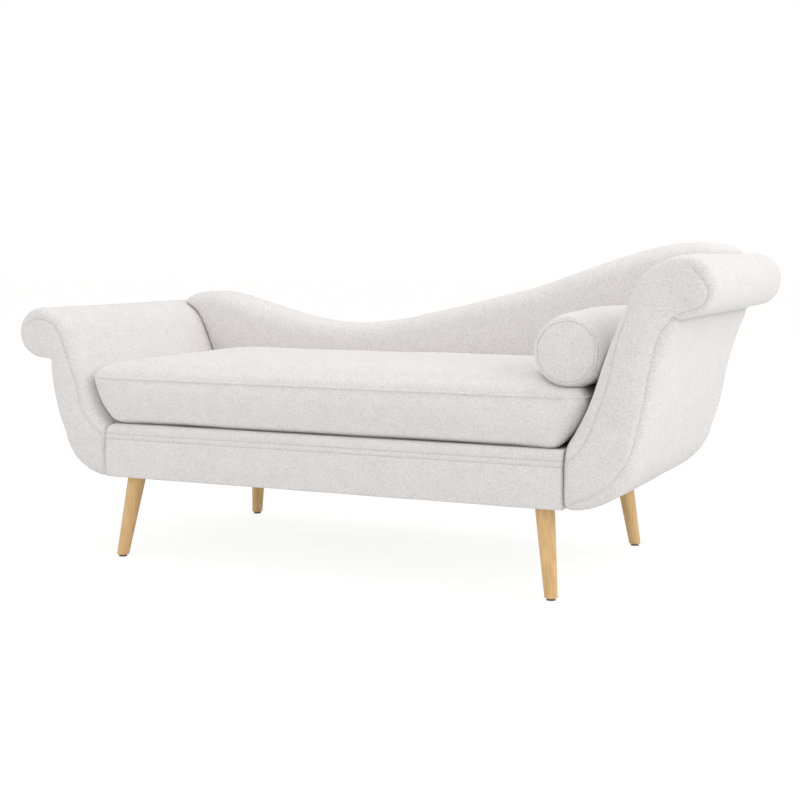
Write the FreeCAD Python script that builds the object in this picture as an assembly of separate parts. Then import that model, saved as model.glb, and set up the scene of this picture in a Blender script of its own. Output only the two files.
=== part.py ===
import FreeCAD, Part
import os
from math import atan2, cos, degrees, hypot, pi, radians, sin, sqrt

# Chaise longue, in millimetres. X runs along the seat, to the right as seen from the front,
# Y runs to the back and Z up. The seat's front and rear lie evenly about Y 0, the feet at Z 0.

Vector = FreeCAD.Vector
os.makedirs("parts", exist_ok=True)

# Overall sizes
depth = 676.0
seat_length = 1110.0
seat_shift = -30.0
rail_underside = 191.0
rail_height = 123.0

# Upholstery layers
cloth = 2.5
rail_padding = 9.5
top_padding = 11.5
arm_foam = 22.0
edge_round = 20.0
rail_edge_round = 12.0
cover_return = 8.0
seat_gap = 0.5
side_gap = 3.0
back_gap = 3.0
joint_gap = 0.4

# Hardwood seat frame
board = 25.0
cross_rail_height = 70.0
cross_rail_drop = 20.0
cross_rail_pitch = 370.0
block_size = 80.0
block_height = 50.0

# Legs and their fixings
leg_inset_x = 50.0
leg_inset_y = 52.6
leg_splay_x = 26.0
leg_splay_y = 29.0
leg_top_radius = 21.0
leg_foot_radius = 13.6
leg_edge_round = 1.5
leg_spare = 0.2
glide_height = 5.0
glide_radius = 9.5
glide_pin_radius = 1.5
glide_pin_length = 12.0
plate_size = 64.0
plate_window_gap = 1.0
plate_thickness = 2.5
plate_boss_radius = 9.0
plate_boss_height = 12.0
bolt_radius = 4.0
bolt_in_leg = 35.0
bolt_above_plate = 18.0
plate_screw_pitch = 48.0
plate_screw_radius = 2.0
plate_screw_length = 18.0
plate_screw_head_radius = 4.0
plate_screw_head_height = 1.5

# Seat suspension
strap_width = 50.0
strap_thickness = 1.6
strap_pitch = 130.0
strap_count = 8
long_strap_pitch = 180.0
long_strap_count = 3
strap_hold = 21.0
deck_cloth = 1.5
dust_cloth = 1.0
dust_cover_margin = 5.0

# Arm inner frame
rib_thickness = 18.0
rib_gap = 0.5
slat_thickness = 18.0
slat_width = 60.0
slat_gap = 2.0
pole_radius = 33.0
side_board_height = 60.0
arm_bolt_pitch = 150.0
arm_bolt_count = 3
arm_bolt_head_radius = 8.0
arm_bolt_head_height = 5.0
arm_nut_radius = 10.0
arm_nut_height = 8.0

# Back
back_thickness = 98.0
crest_round = 28.0
crest_corner = 36.0
crest_board_top = 26.0
crest_board_height = 50.0
crest_board_half_length = 640.0
back_board = 20.0
back_board_gap = 1.0
post_width = 40.0
post_pitch = 260.0
post_count = 5
dowel_radius = 5.0
dowel_length = 60.0
dowel_pitch = 22.0

# Crest of the back as (x, height), left to right
crest_points = [
    (-736.0, 592.0), (-655.0, 606.0), (-525.0, 582.0), (-400.0, 551.0), (-265.0, 532.0),
    (-100.0, 546.0), (78.0, 585.0), (250.0, 628.0), (413.0, 682.0), (540.0, 720.0),
    (640.0, 735.0), (730.0, 728.0)]

# Seat cushion
boxing_height = 110.5
boxing_draw = 4.0
boxing_steps = 4
crown_rise = 43.0
crown_reach_x = 260.0
crown_reach_y = 150.0
crown_steps = 6
cushion_corner = 34.0
cushion_front_inset = 2.0
piping_radius = 2.3

# Bolster
bolster_radius = 78.0
bolster_face_radius = 67.0
bolster_x = 524.0
bolster_height = 512.0
bolster_front_inset = 33.0
bolster_back_gap = 15.0
bolster_dome = 12.0
bolster_shoulder = 22.0
bolster_piping_radius = 2.0
piping_gap = 0.1

# Zips of the cushion and the bolster
zip_tape_width = 14.0
zip_tape_thickness = 1.0
zip_channel_width = 15.0
zip_channel_depth = 6.0
zip_length = 700.0
bolster_zip_margin = 75.0
bolster_zip_angle = -50.0
slider_length = 12.0
slider_width = 8.0
slider_thickness = 3.5
slider_gap = 0.3
slider_end_gap = 6.0

# Stitched band on the front rail
band_height = 12.0
band_thickness = 1.2
band_below_top = 22.0

# How close edges lie to count as in one place, and how far a cutting shape runs past an end
same_place = 0.01
past_end = 1.0

# Places that follow from the sizes above
rail_top = rail_underside+rail_height
front = -depth/2
rear = depth/2
right_seam = seat_shift+seat_length/2
left_seam = seat_shift-seat_length/2
rail_face = front+band_thickness
frame_front = rail_face+cloth+rail_padding
frame_rear = rear-cloth-rail_padding
frame_bottom = rail_underside+cloth
frame_top = rail_top-cloth-top_padding
back_front = rear-back_thickness
cushion_bottom = rail_top+seat_gap
cushion_seam = cushion_bottom+boxing_height
bolster_front = front+bolster_front_inset
bolster_rear = back_front-bolster_back_gap
bolster_length = bolster_rear-bolster_front
bolster_zip_length = bolster_length-2*bolster_zip_margin
crest_highest = max(z for x, z in crest_points)
well_above = 3*crest_highest


def save(name, shape):
    """Writes one named piece."""
    shape.exportStep("parts/"+name+".step")


def box(x0, x1, y0, y1, z0, z1):
    """A box between two corners."""
    return Part.makeBox(x1-x0, y1-y0, z1-z0, Vector(x0, y0, z0))


def rod(radius, start, end):
    """A round bar between two points."""
    along = end-start
    return Part.makeCylinder(radius, along.Length, start, along)


def cut_all(shape, tools):
    """The shape less a list of others."""
    return shape.cut(Part.makeCompound(tools))


def spread(count, pitch, middle):
    """Evenly spaced places about a middle."""
    return [middle+pitch*(i-(count-1)/2) for i in range(count)]


class Bend:
    """A run of tangent arcs in a plane, drawn as (out, up) points with a heading in degrees."""

    def __init__(self, start, heading):
        self.end = start
        self.heading = heading
        self.arcs = []

    def turn(self, radius, angle):
        """Adds an arc; a positive angle turns left."""
        side = 1 if angle > 0 else -1
        head = radians(self.heading)
        centre = (self.end[0]-side*radius*sin(head), self.end[1]+side*radius*cos(head))
        first = atan2(self.end[1]-centre[1], self.end[0]-centre[0])
        self.arcs.append((centre, radius, first, radians(angle)))
        last = first+radians(angle)
        self.end = (centre[0]+radius*cos(last), centre[1]+radius*sin(last))
        self.heading += angle

    def turn_to(self, point):
        """Adds the arc that leaves along the heading and ends at the point."""
        run = (point[0]-self.end[0], point[1]-self.end[1])
        head = radians(self.heading)
        ahead = cos(head)*run[0]+sin(head)*run[1]
        aside = cos(head)*run[1]-sin(head)*run[0]
        radius = (run[0]**2+run[1]**2)/(2*abs(aside))
        self.turn(radius, degrees(2*atan2(aside, ahead)))
        self.end = point


def arc_points(arc):
    """First, middle and last point of an arc."""
    centre, radius, first, angle = arc
    return [(centre[0]+radius*cos(first+angle*part), centre[1]+radius*sin(first+angle*part))
            for part in (0, 0.5, 1)]


class Arm:
    """One rolled arm. Out is measured from its seam with the seat, away from the seat."""

    def __init__(self, name, side, seam, roll_out, roll_height, shoulder, sweep, belly, flank, waist):
        self.name = name
        self.side = side
        self.seam = seam
        self.roll = (roll_out, roll_height)
        inner = Bend((roll_out, roll_height+roll_radius), 180)
        inner.turn(*shoulder)
        inner.turn(*sweep)
        inner.turn_to((0, rail_top-arm_seat_drop))
        outer = Bend((0, rail_underside-arm_belly_drop), 0)
        outer.turn(*belly)
        outer.turn(*flank)
        self.inner_arcs = inner.arcs
        self.outer_arcs = outer.arcs+self.waist_and_roll(outer, waist)

    def waist_and_roll(self, outer, waist):
        """The hollow waist, the tight neck under the roll and the roll up to its top."""
        head = radians(outer.heading)
        waist_centre = (outer.end[0]+waist*sin(head), outer.end[1]-waist*cos(head))
        near = waist-neck_radius
        far = roll_radius+neck_radius
        run = (self.roll[0]-waist_centre[0], self.roll[1]-waist_centre[1])
        span = hypot(*run)
        along = (near**2-far**2+span**2)/(2*span)
        aside = sqrt(near**2-along**2)
        neck = (waist_centre[0]+(along*run[0]+aside*run[1])/span,
                waist_centre[1]+(along*run[1]-aside*run[0])/span)
        if neck[1] > self.roll[1]:
            neck = (waist_centre[0]+(along*run[0]-aside*run[1])/span,
                    waist_centre[1]+(along*run[1]+aside*run[0])/span)
        waist_start = atan2(outer.end[1]-waist_centre[1], outer.end[0]-waist_centre[0]) % (2*pi)
        waist_end = atan2(neck[1]-waist_centre[1], neck[0]-waist_centre[0]) % (2*pi)
        to_roll = atan2(self.roll[1]-neck[1], self.roll[0]-neck[0])
        neck_turn = -((waist_end-to_roll) % (2*pi))
        roll_start = (to_roll+pi) % (2*pi)
        roll_turn = (pi/2-roll_start) % (2*pi)
        return [(waist_centre, waist, waist_start, waist_end-waist_start),
                (neck, neck_radius, waist_end, neck_turn),
                (self.roll, roll_radius, roll_start, roll_turn)]

    def place(self, point, y=0.0):
        """A point of the arm's own plane in the chaise."""
        return Vector(self.seam+self.side*point[0], y, point[1])

    def edges(self, arcs, y):
        """Arcs of the arm's own plane as edges at a depth."""
        return [Part.Arc(*[self.place(p, y) for p in arc_points(arc)]).toShape() for arc in arcs]

    def face(self, inset, y):
        """The arm's outline at a depth, drawn in by an inset."""
        arcs = self.inner_arcs+self.outer_arcs
        seam_top = arc_points(self.inner_arcs[-1])[2]
        seam_foot = arc_points(self.outer_arcs[0])[0]
        seam_edge = Part.makeLine(self.place(seam_top, y), self.place(seam_foot, y))
        edges = self.edges(self.inner_arcs, y)+[seam_edge]+self.edges(self.outer_arcs, y)
        wire = Part.Wire(edges)
        if inset:
            wire = wire.makeOffset2D(-inset, 2)
        return Part.Face(wire)

    def block(self, inset, y0, y1, rounding=0.0):
        """The outline run from one depth to another, with its ends rounded."""
        solid = self.face(inset, y0).extrude(Vector(0, y1-y0, 0))
        if not rounding:
            return solid
        seam_x = self.seam+self.side*inset
        chosen = []
        for edge in solid.Edges:
            ends = edge.BoundBox
            at_end = ends.YLength < same_place
            on_seam = max(abs(ends.XMin-seam_x), abs(ends.XMax-seam_x)) < same_place
            if at_end and not on_seam:
                chosen.append(edge)
        return solid.makeFillet(rounding, chosen)

    def inner_out(self, height):
        """How far out the inner surface is at a height, up to the roll's middle."""
        for centre, radius, first, angle in self.inner_arcs:
            low, high = sorted((centre[1]+radius*sin(first), centre[1]+radius*sin(first+angle)))
            if low-0.001 <= height <= high+0.001:
                reach = sqrt(max(radius**2-(height-centre[1])**2, 0))
                return centre[0]-reach if angle > 0 else centre[0]+reach
        return 0.0

    def inner_x(self, height):
        """The same as an X in the chaise."""
        return self.seam+self.side*self.inner_out(height)

    def beyond(self, gap, y0, y1):
        """Everything outside the arm's inner surface, for trimming what butts against it."""
        arcs = self.inner_arcs
        top = arc_points(arcs[0])[0]
        foot = arc_points(arcs[-1])[2]
        far = self.roll[0]+2*roll_radius
        low = rail_underside/2
        edges = self.edges(arcs, y0)
        corners = [foot, (0, low), (far, low), (far, top[1]), top]
        for a, b in zip(corners, corners[1:]):
            edges.append(Part.makeLine(self.place(a, y0), self.place(b, y0)))
        wire = Part.Wire(edges)
        if gap:
            wire = wire.makeOffset2D(gap, 2)
        return Part.Face(wire).extrude(Vector(0, y1-y0, 0))

    def slat(self, height, y0, y1):
        """A board between the ribs, lying along the inner foam at a height."""
        rise = slat_width/2
        low = self.inner_out(height-rise)
        high = self.inner_out(height+rise)
        tilt = atan2(2*rise, high-low)
        inset = cloth+arm_foam+slat_gap
        out = self.inner_out(height)+inset/sin(tilt)
        foot = (out-rise*cos(tilt), height-rise*sin(tilt))
        head = (out+rise*cos(tilt), height+rise*sin(tilt))
        deep = (slat_thickness*sin(tilt), -slat_thickness*cos(tilt))
        corners = [foot, head, (head[0]+deep[0], head[1]+deep[1]), (foot[0]+deep[0], foot[1]+deep[1])]
        wire = Part.makePolygon([self.place(c, y0) for c in corners+corners[:1]])
        return Part.Face(wire).extrude(Vector(0, y1-y0, 0))


# Both arms share the roll; the right arm is the tall one
roll_radius = 60.0
neck_radius = 8.0
arm_seat_drop = 2.0
arm_belly_drop = 6.0
right_roll_rise = 338.0
left_roll_rise = 209.0
right_arm = Arm("right_arm", 1, right_seam, roll_out=253.0, roll_height=rail_top+right_roll_rise,
                shoulder=(124.0, 64.0), sweep=(1500.0, 8.0), belly=(163.7, 71.0), flank=(850.0, 9.5),
                waist=640.0)
left_arm = Arm("left_arm", -1, left_seam, roll_out=193.0, roll_height=rail_top+left_roll_rise,
               shoulder=(95.0, 66.0), sweep=(1500.0, 6.0), belly=(130.0, 66.0), flank=(600.0, 19.0),
               waist=600.0)
right_slats = [rail_top+rise for rise in (86.0, 186.0, 286.0)]
left_slats = [rail_top+rise for rise in (76.0, 156.0)]


def leg_line(sx, sy):
    """Foot on the floor and top at the plate of one leg's axis."""
    top = Vector(seat_shift+sx*(seat_length/2-leg_inset_x), sy*(depth/2-leg_inset_y), rail_underside)
    foot = Vector(top.x+sx*leg_splay_x, top.y+sy*leg_splay_y, 0)
    return foot, top


def along_leg(foot, top, height):
    """The point of a leg's axis at a height."""
    return foot+(top-foot)*(height/top.z)


leg_names = {(-1, -1): "front_left_leg", (1, -1): "front_right_leg",
             (-1, 1): "rear_left_leg", (1, 1): "rear_right_leg"}


def make_legs():
    """Tapered turned legs, cut level at both ends, with their bolts, glides and plates."""
    bolts, glides, plates, screws = [], [], [], []
    for (sx, sy), name in leg_names.items():
        foot, top = leg_line(sx, sy)
        slope = top-foot
        taper = (leg_top_radius-leg_foot_radius)*leg_spare
        cone = Part.makeCone(leg_foot_radius-taper, leg_top_radius+taper, slope.Length*(1+2*leg_spare),
                             foot-slope*leg_spare, slope)
        reach = 4*leg_top_radius+leg_splay_x+leg_splay_y
        slab = box(top.x-reach, top.x+reach, top.y-reach, top.y+reach, glide_height, rail_underside)
        leg = cone.common(slab)
        foot_edges = [e for e in leg.Edges if e.BoundBox.ZMax < glide_height+same_place]
        leg = leg.makeFillet(leg_edge_round, foot_edges)
        bolt_low = along_leg(foot, top, rail_underside-bolt_in_leg)
        bolt_high = along_leg(foot, top, rail_underside+bolt_above_plate)
        bolt = rod(bolt_radius, bolt_low, bolt_high)
        glide_spot = along_leg(foot, top, glide_height)
        glide = Part.makeCylinder(glide_radius, glide_height, Vector(glide_spot.x, glide_spot.y, 0))
        pin = Part.makeCylinder(glide_pin_radius, glide_height+glide_pin_length,
                                Vector(glide_spot.x, glide_spot.y, 0))
        save(name, leg.cut(bolt).cut(pin))
        bolts.append(bolt)
        glides.append(glide.fuse(pin))
        half = plate_size/2
        plate = box(top.x-half, top.x+half, top.y-half, top.y+half, rail_underside,
                    rail_underside+plate_thickness)
        boss = rod(plate_boss_radius, top, along_leg(foot, top, rail_underside+plate_boss_height))
        plate = plate.fuse(boss.common(slab_above(top, reach))).cut(bolt)
        for ox in (-plate_screw_pitch/2, plate_screw_pitch/2):
            for oy in (-plate_screw_pitch/2, plate_screw_pitch/2):
                spot = Vector(top.x+ox, top.y+oy, rail_underside)
                shank = Part.makeCylinder(plate_screw_radius, plate_screw_length, spot)
                head = Part.makeCylinder(plate_screw_head_radius, plate_screw_head_height,
                                         spot-Vector(0, 0, plate_screw_head_height))
                plate = plate.cut(shank)
                screws.append(shank.fuse(head))
        plates.append(plate)
    save("hanger_bolts", Part.makeCompound(bolts))
    save("leg_glides", Part.makeCompound(glides))
    save("leg_plates", Part.makeCompound(plates))
    save("leg_plate_screws", Part.makeCompound(screws))
    return bolts, plates, screws


def slab_above(top, reach):
    """The space over the frame's underside round a leg's top."""
    return box(top.x-reach, top.x+reach, top.y-reach, top.y+reach, rail_underside,
               rail_underside+2*plate_boss_height)


def arm_bolt_set(arm):
    """Bolts that hold an arm to its end rail, and their nuts on the side board."""
    bolts, nuts = [], []
    level = frame_bottom+rail_height/2
    inside = arm.seam-arm.side*board
    outside = arm.seam+arm.side*(cloth+arm_foam+rib_gap+slat_thickness)
    for y in spread(arm_bolt_count, arm_bolt_pitch, 0):
        start = Vector(inside, y, level)
        end = Vector(outside+arm.side*arm_nut_height, y, level)
        head = rod(arm_bolt_head_radius, start, start-Vector(arm.side*arm_bolt_head_height, 0, 0))
        shank = rod(bolt_radius, start, end)
        bolts.append(shank.fuse(head))
        nuts.append(rod(arm_nut_radius, Vector(outside, y, level), end).cut(shank))
    return bolts, nuts


def make_seat_frame(leg_bolts, plates, screws, arm_bolts, dowels):
    """Hardwood rails, blocks and what closes the frame from below."""
    fixings = leg_bolts+plates+screws+arm_bolts+dowels
    rails = {
        "front_rail": box(left_seam, right_seam, frame_front, frame_front+board, frame_bottom, frame_top),
        "rear_rail": box(left_seam, right_seam, frame_rear-board, frame_rear, frame_bottom, frame_top),
        "left_end_rail": box(left_seam, left_seam+board, frame_front+board, frame_rear-board,
                             frame_bottom, frame_top),
        "right_end_rail": box(right_seam-board, right_seam, frame_front+board, frame_rear-board,
                              frame_bottom, frame_top)}
    for name, rail in rails.items():
        save(name, cut_all(rail, fixings))
    cross_top = frame_top-cross_rail_drop
    crosses = []
    for x in spread(2, cross_rail_pitch, seat_shift):
        crosses.append(box(x-board/2, x+board/2, frame_front+board, frame_rear-board,
                           cross_top-cross_rail_height, cross_top))
    save("cross_rails", Part.makeCompound(crosses))
    blocks = []
    for sx in (-1, 1):
        for sy in (-1, 1):
            x = left_seam+board if sx < 0 else right_seam-board-block_size
            y = frame_front+board if sy < 0 else frame_rear-board-block_size
            block = box(x, x+block_size, y, y+block_size, frame_bottom, frame_bottom+block_height)
            blocks.append(cut_all(block, fixings))
    save("corner_blocks", Part.makeCompound(blocks))
    windows = []
    half = plate_size/2+plate_window_gap
    for sx, sy in leg_names:
        top = leg_line(sx, sy)[1]
        windows.append(box(top.x-half, top.x+half, top.y-half, top.y+half, 0, frame_top))
    dust = box(left_seam+dust_cover_margin, right_seam-dust_cover_margin, frame_front+cover_return,
               frame_rear-dust_cover_margin, frame_bottom-dust_cloth, frame_bottom)
    save("dust_cover", cut_all(dust, windows))
    return windows


def make_suspension():
    """Webbing over the frame, and the deck on it."""
    straps = []
    for x in spread(strap_count, strap_pitch, seat_shift):
        straps.append(box(x-strap_width/2, x+strap_width/2, frame_front+board-strap_hold,
                          frame_rear-board+strap_hold, frame_top, frame_top+strap_thickness))
    save("seat_webbing_across", Part.makeCompound(straps))
    long_low = frame_top+strap_thickness
    deck_left = left_seam+board/2
    deck_right = right_seam-board/2
    long_straps = []
    for y in spread(long_strap_count, long_strap_pitch, (front+back_front)/2):
        long_straps.append(box(deck_left, deck_right, y-strap_width/2, y+strap_width/2, long_low,
                               long_low+strap_thickness))
    save("seat_webbing_along", Part.makeCompound(long_straps))
    deck_front = frame_front+board
    pad = box(left_seam, right_seam, deck_front, back_front, long_low, rail_top-deck_cloth)
    save("seat_deck_pad", cut_all(pad, long_straps))
    save("seat_deck_cloth", box(left_seam, right_seam, deck_front, back_front, rail_top-deck_cloth,
                                rail_top))
    return straps


def rail_wrap(inset, low, edge_rear):
    """Cross-section of the front rail's upholstery, run the length of the seat."""
    solid = box(left_seam, right_seam, rail_face+inset, edge_rear, low, rail_top-inset)
    top_edge = [e for e in solid.Edges if abs(e.BoundBox.YMax-rail_face-inset) < same_place
                and abs(e.BoundBox.ZMin-rail_top+inset) < same_place]
    return solid.makeFillet(rail_edge_round-inset, top_edge)


def make_front_rail_upholstery(straps, windows):
    """Padding, cover and stitched band of the front rail."""
    edge_rear = frame_front+board
    outer = rail_wrap(0.0, rail_underside, edge_rear)
    inner = rail_wrap(cloth, frame_bottom, edge_rear)
    wood = box(left_seam, right_seam, frame_front, edge_rear, frame_bottom, frame_top)
    under = box(left_seam, right_seam, frame_front+cover_return, edge_rear, rail_underside, frame_bottom)
    save("front_rail_cover", cut_all(outer.cut(inner), [under]+windows))
    save("front_rail_padding", cut_all(inner, [wood]+straps))
    band_top = rail_top-band_below_top
    save("front_rail_band", box(left_seam, right_seam, front, rail_face, band_top-band_height, band_top))


def make_arm(arm, slat_heights, bolts):
    """Cover, foam, ribs, slats, side board and roll pole of one arm."""
    outer = arm.block(0.0, front, rear, edge_round)
    skin = arm.block(cloth, front+cloth, rear-cloth, edge_round-cloth)
    pad = cloth+arm_foam
    hollow = arm.block(pad, front+pad, rear-pad)
    save(arm.name+"_cover", cut_all(outer.cut(skin), bolts))
    save(arm.name+"_foam", cut_all(skin.cut(hollow), bolts))
    rib_inset = pad+rib_gap
    rib_front = front+pad
    rib_rear = rear-pad
    front_rib = arm.block(rib_inset, rib_front, rib_front+rib_thickness)
    rear_rib = arm.block(rib_inset, rib_rear-rib_thickness, rib_rear)
    save(arm.name+"_front_rib", front_rib)
    save(arm.name+"_rear_rib", rear_rib)
    y0 = rib_front+rib_thickness
    y1 = rib_rear-rib_thickness
    save(arm.name+"_slats", Part.makeCompound([arm.slat(z, y0, y1) for z in slat_heights]))
    level = frame_bottom+rail_height/2
    corner = arm.seam+arm.side*rib_inset
    far_corner = corner+arm.side*slat_thickness
    side_board = box(min(corner, far_corner), max(corner, far_corner), y0, y1,
                     level-side_board_height/2, level+side_board_height/2)
    save(arm.name+"_side_board", cut_all(side_board, bolts))
    pole = rod(pole_radius, arm.place(arm.roll, y0), arm.place(arm.roll, y1))
    save(arm.name+"_roll_pole", pole)


def crest_curve(drop, y):
    """The crest at a depth, lowered by a drop."""
    curve = Part.BSplineCurve()
    curve.interpolate([Vector(x, y, z-drop) for x, z in crest_points])
    return curve


def crest_middle(drop, y):
    """The stretch of the crest that the crest board follows."""
    curve = crest_curve(drop, y)
    ends = []
    for x in (-crest_board_half_length, crest_board_half_length):
        upright = Part.LineSegment(Vector(x, y, 0), Vector(x, y, well_above))
        hit = curve.intersect(upright)[0]
        ends.append(curve.parameter(Vector(hit.X, y, hit.Z)))
    return curve.toShape(*ends)


def back_outline(inset, low, y):
    """The back's outline down to a level: the crest with a rounded corner at each end."""
    curve = crest_curve(inset, y)
    edges = [curve.toShape()]
    corners = []
    for at, way in ((curve.FirstParameter, -1), (curve.LastParameter, 1)):
        point = curve.value(at)
        slope = curve.tangent(at)[0]*way
        fall = -degrees(atan2(slope.z, abs(slope.x)))
        bend = Bend((point.x, point.z), -fall if way > 0 else 180+fall)
        bend.turn(crest_corner-inset, -way*(90-fall))
        edges.append(Part.Arc(*[Vector(px, y, pz) for px, pz in arc_points(bend.arcs[0])]).toShape())
        corners.append((Vector(bend.end[0], y, bend.end[1]), Vector(bend.end[0], y, low)))
    (left_top, left_low), (right_top, right_low) = corners
    edges.append(Part.makeLine(left_top, left_low))
    edges.append(Part.makeLine(left_low, right_low))
    edges.append(Part.makeLine(right_low, right_top))
    return Part.Face(Part.Wire(Part.__sortEdges__(edges)))


def back_solid(inset, gap):
    """The back's padded form between the arms, with the skirt over the rear rail."""
    y0 = back_front+inset
    y1 = rear-inset
    solid = back_outline(inset, rail_top, y0).extrude(Vector(0, y1-y0, 0))
    chosen = [e for e in solid.Edges
              if e.BoundBox.YLength < same_place and e.BoundBox.ZMax > rail_top+past_end]
    solid = solid.makeFillet(crest_round-inset, chosen)
    skirt = box(left_seam, right_seam, frame_rear, y1, rail_underside+inset, rail_top)
    trims = [arm.beyond(gap+inset, front, rear+past_end) for arm in (left_arm, right_arm)]
    return cut_all(solid.fuse(skirt), trims)


def crest_strip(low_drop, high_drop, y):
    """The space between the crest lowered by two drops, as thick as the back's boards."""
    lower = crest_middle(low_drop, y)
    upper = crest_middle(high_drop, y)
    rise = Vector(0, 0, low_drop-high_drop)
    sides = [Part.makeLine(lower.valueAt(t), lower.valueAt(t)+rise)
             for t in (lower.FirstParameter, lower.LastParameter)]
    strip = Part.Face(Part.Wire(Part.__sortEdges__([upper, lower]+sides)))
    return strip.extrude(Vector(0, back_board, 0))


def make_back():
    """Posts, crest board, foam and cover of the back."""
    posts, dowels = [], []
    board_front = frame_rear-board/2-back_board/2
    board_middle = board_front+back_board/2
    crest_board_foot = crest_board_top+crest_board_height
    above = crest_strip(crest_board_foot, crest_board_foot-crest_highest, board_front)
    for x in spread(post_count, post_pitch, seat_shift):
        post = box(x-post_width/2, x+post_width/2, board_front, board_front+back_board, frame_top,
                   crest_highest)
        pair = [Part.makeCylinder(dowel_radius, dowel_length,
                                  Vector(x+offset, board_middle, frame_top-dowel_length/2))
                for offset in (-dowel_pitch/2, dowel_pitch/2)]
        posts.append(cut_all(post, [above]+pair))
        dowels += pair
    save("back_posts", Part.makeCompound(posts))
    save("back_crest_board", crest_strip(crest_board_foot, crest_board_top, board_front))
    save("back_dowels", Part.makeCompound(dowels))
    outer = back_solid(0.0, joint_gap)
    inner = back_solid(cloth, joint_gap)
    cavity = back_outline(crest_board_top-back_board_gap, rail_top, board_front)
    cavity = cavity.extrude(Vector(0, back_board, 0))
    trims = [arm.beyond(joint_gap+cloth+arm_foam, front, rear) for arm in (left_arm, right_arm)]
    save("back_cover", outer.cut(inner))
    save("back_foam", cut_all(inner, [cut_all(cavity, trims)]+posts+dowels))
    return dowels


def rounded_rectangle(x0, x1, y0, y1, radius, z):
    """A level rectangle with round corners, as one wire."""
    turn = radius*(1-cos(pi/4))
    edges = []
    corners = [(x1, y0, -1, 1), (x1, y1, -1, -1), (x0, y1, 1, -1), (x0, y0, 1, 1)]
    points = []
    for x, y, sx, sy in corners:
        a = Vector(x+sx*radius, y, z)
        b = Vector(x, y+sy*radius, z)
        middle = Vector(x+sx*turn, y+sy*turn, z)
        points.append((a, middle, b) if sx*sy < 0 else (b, middle, a))
    for i, (a, middle, b) in enumerate(points):
        edges.append(Part.Arc(a, middle, b).toShape())
        edges.append(Part.makeLine(b, points[(i+1) % 4][0]))
    return Part.Wire(edges)


def cushion_section(height, draw, inset_x, inset_y, level):
    """One level of the seat cushion; its ends follow the arms at that height."""
    x0 = left_arm.inner_x(height)+side_gap+inset_x+draw
    x1 = right_arm.inner_x(height)-side_gap-inset_x-draw
    y0 = front+cushion_front_inset+inset_y+draw
    y1 = back_front-back_gap-inset_y-draw
    return rounded_rectangle(x0, x1, y0, y1, cushion_corner-draw, level)


def cushion_solid(inset):
    """Boxed cushion with drawn-in sides and a crown, drawn in by an inset."""
    sections = []
    for step in range(boxing_steps+1):
        part = step/boxing_steps
        height = cushion_bottom+boxing_height*part
        draw = inset+4*boxing_draw*part*(1-part)
        sections.append(cushion_section(height, draw, 0, 0, max(height, cushion_bottom+inset)))
    for step in range(1, crown_steps+1):
        angle = pi/2*step/crown_steps
        lean = 1-cos(angle)
        level = cushion_seam+(crown_rise-inset)*sin(angle)
        sections.append(cushion_section(cushion_seam, inset, crown_reach_x*lean, crown_reach_y*lean,
                                        level))
    cradle = rod(bolster_radius+seat_gap+inset,
                 Vector(bolster_x, bolster_front-2*bolster_dome, bolster_height),
                 Vector(bolster_x, back_front, bolster_height))
    return Part.makeLoft(sections, True, True).cut(cradle)


def make_seat_cushion():
    """Foam core, cover, piping and zip of the seat cushion."""
    outer = cushion_solid(0.0)
    inner = cushion_solid(cloth)
    x0 = left_arm.inner_x(cushion_seam)+side_gap
    x1 = right_arm.inner_x(cushion_seam)-side_gap
    y0 = front+cushion_front_inset
    y1 = back_front-back_gap
    path = rounded_rectangle(x0, x1, y0, y1, cushion_corner, cushion_seam)
    start = path.Edges[0].valueAt(path.Edges[0].FirstParameter)
    ring = Part.Wire(Part.makeCircle(piping_radius, start, path.Edges[0].tangentAt(
        path.Edges[0].FirstParameter)))
    piping = path.makePipeShell([ring], True, False)
    level = (cushion_bottom+cushion_seam)/2
    face = back_front-back_gap-boxing_draw
    floor = face-zip_channel_depth
    channel = box(-zip_length/2, zip_length/2, floor, back_front, level-zip_channel_width/2,
                  level+zip_channel_width/2)
    tape = box(-zip_length/2, zip_length/2, floor, floor+zip_tape_thickness, level-zip_tape_width/2,
               level+zip_tape_width/2)
    slider_floor = floor+zip_tape_thickness+slider_gap
    slider_start = -zip_length/2+slider_end_gap
    slider = box(slider_start, slider_start+slider_length, slider_floor, slider_floor+slider_thickness,
                 level-slider_width/2, level+slider_width/2)
    save("seat_cushion_cover", cut_all(outer.cut(inner), [channel, piping]))
    save("seat_cushion_core", inner.cut(channel))
    save("seat_cushion_piping", piping)
    save("seat_cushion_zip", tape)
    save("seat_cushion_zip_slider", slider)


def bolster_solid(inset):
    """Round bolster with domed ends, turned about its own axis."""
    half = bolster_length/2-inset
    radius = bolster_radius-inset
    face = bolster_face_radius-inset
    dome = Bend((half+bolster_dome, 0), 90)
    dome.turn_to((half, face))
    shoulder = Bend((half-bolster_shoulder, radius), 0)
    shoulder.turn_to((half, face))
    middle = bolster_front+bolster_length/2

    def at(along, out):
        return Vector(bolster_x+out, middle+along, bolster_height)

    edges = []
    for way in (-1, 1):
        for arc in dome.arcs+shoulder.arcs:
            edges.append(Part.Arc(*[at(way*along, out) for along, out in arc_points(arc)]).toShape())
    edges.append(Part.makeLine(at(bolster_shoulder-half, radius), at(half-bolster_shoulder, radius)))
    edges.append(Part.makeLine(at(-half-bolster_dome, 0), at(half+bolster_dome, 0)))
    profile = Part.Face(Part.Wire(Part.__sortEdges__(edges)))
    solid = profile.revolve(Vector(bolster_x, 0, bolster_height), Vector(0, 1, 0), 360)
    if solid.Volume < 0:
        solid.reverse()
    return solid


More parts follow.
